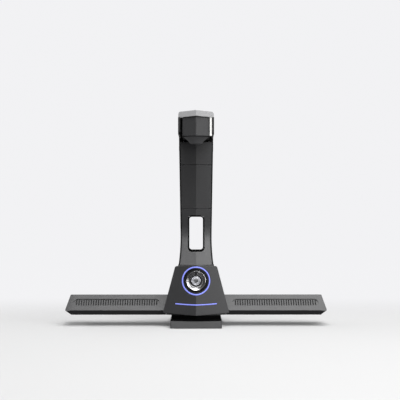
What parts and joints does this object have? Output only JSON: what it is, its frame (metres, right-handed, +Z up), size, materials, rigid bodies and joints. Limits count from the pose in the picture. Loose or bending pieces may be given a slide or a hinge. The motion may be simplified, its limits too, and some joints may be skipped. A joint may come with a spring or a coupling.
{
  "type": "book scanner",
  "caption": "Desktop book scanner with a weighted foot, two long speaker bars, a swivelling front camera and an arm whose tilting head looks down at the page.",
  "frame": {"origin": "under the middle of the whole object, on the surface that it stands on", "axes": "+X along the speaker bars to the reader's right, -Y towards the reader, +Z up"},
  "size_m": [0.4, 0.1428, 0.3277],
  "materials": {
    "graphite_plastic": "fine satin moulded graphite plastic",
    "charcoal_plastic": "fine matte moulded dark grey plastic",
    "black_plastic": "matte black plastic",
    "rubber": "matte black rubber",
    "silver": "satin silver",
    "chrome": "polished",
    "steel": "plain steel",
    "lens_glass": "coated lens glass",
    "blue_light": "lit blue light guide",
    "white_light": "white light diffuser",
    "speaker_cloth": "fine black acoustic cloth",
    "speaker_paper": "pressed paper cone",
    "circuit": "green solder-masked board",
    "copper": "copper flex cable"
  },
  "bodies": {
    "stand": {"foot_shell": "charcoal_plastic", "ballast_plate": "steel", "anti_slip_mat": "rubber", "neck_collar": "black_plastic", "spine_plate": "steel", "spine_screw_1": "steel", "spine_screw_2": "steel", "body_shell": "charcoal_plastic", "main_board": "circuit", "port_panel": "black_plastic", "usb_port_left": "steel", "usb_port_right": "steel", "usb_c_port": "steel", "power_inlet": "black_plastic", "pod_cover": "graphite_plastic", "ring_light": "blue_light", "ring_light_board": "circuit", "bar_light": "blue_light", "eye_socket": "black_plastic", "left_bar_front": "graphite_plastic", "left_bar_back": "charcoal_plastic", "left_grille_cloth": "speaker_cloth", "left_speaker_basket": "steel", "left_speaker_cone": "speaker_paper", "right_bar_front": "graphite_plastic", "right_bar_back": "charcoal_plastic", "right_grille_cloth": "speaker_cloth", "right_speaker_basket": "steel", "right_speaker_cone": "speaker_paper", "arm_lower_cover": "graphite_plastic", "arm_middle_cover": "graphite_plastic", "arm_upper_cover": "graphite_plastic", "window_liner": "black_plastic", "arm_rear_shell": "black_plastic", "hinge_pin": "steel", "hinge_washer_left": "steel", "hinge_washer_right": "steel", "hinge_cap_left": "charcoal_plastic", "hinge_cap_right": "charcoal_plastic", "camera_ribbon": "copper"},
    "head": {"head_top_cover": "silver", "camera_housing": "graphite_plastic", "hinge_knuckle": "steel", "camera_board": "circuit", "left_cheek": "charcoal_plastic", "right_cheek": "charcoal_plastic", "left_light_strip": "white_light", "right_light_strip": "white_light", "left_gap_bar": "black_plastic", "right_gap_light": "white_light", "lens_shroud": "graphite_plastic", "scan_lens_barrel": "black_plastic", "scan_lens_glass": "lens_glass"},
    "eye_ring": {"eye_gimbal": "black_plastic"},
    "eye": {"eye_ball": "chrome", "eye_tilt_tab": "black_plastic", "eye_lens_barrel": "black_plastic", "eye_lens_glass": "lens_glass"},
    "button": {"power_button": "silver"}
  },
  "joints": [
    {"name": "head_tilt", "type": "hinge", "parent": "stand", "child": "head", "pos_m": [0, 0.02406, 0.285], "axis": [-1, 0, 0], "range_deg": [0, 90]},
    {"name": "eye_pan", "type": "hinge", "parent": "stand", "child": "eye_ring", "pos_m": [0, -0.03537, 0.0703], "axis": [0, 0, 1], "range_deg": [-15, 15]},
    {"name": "eye_tilt", "type": "hinge", "parent": "eye_ring", "child": "eye", "pos_m": [0, -0.03537, 0.0703], "axis": [-1, 0, 0], "range_deg": [-20, 20]},
    {"name": "power_press", "type": "slide", "parent": "stand", "child": "button", "axis": [0, -1, 0], "range_m": [0, 0.001], "stiffness_N_per_m": 400, "springref_m": -0.0005}
  ]
}
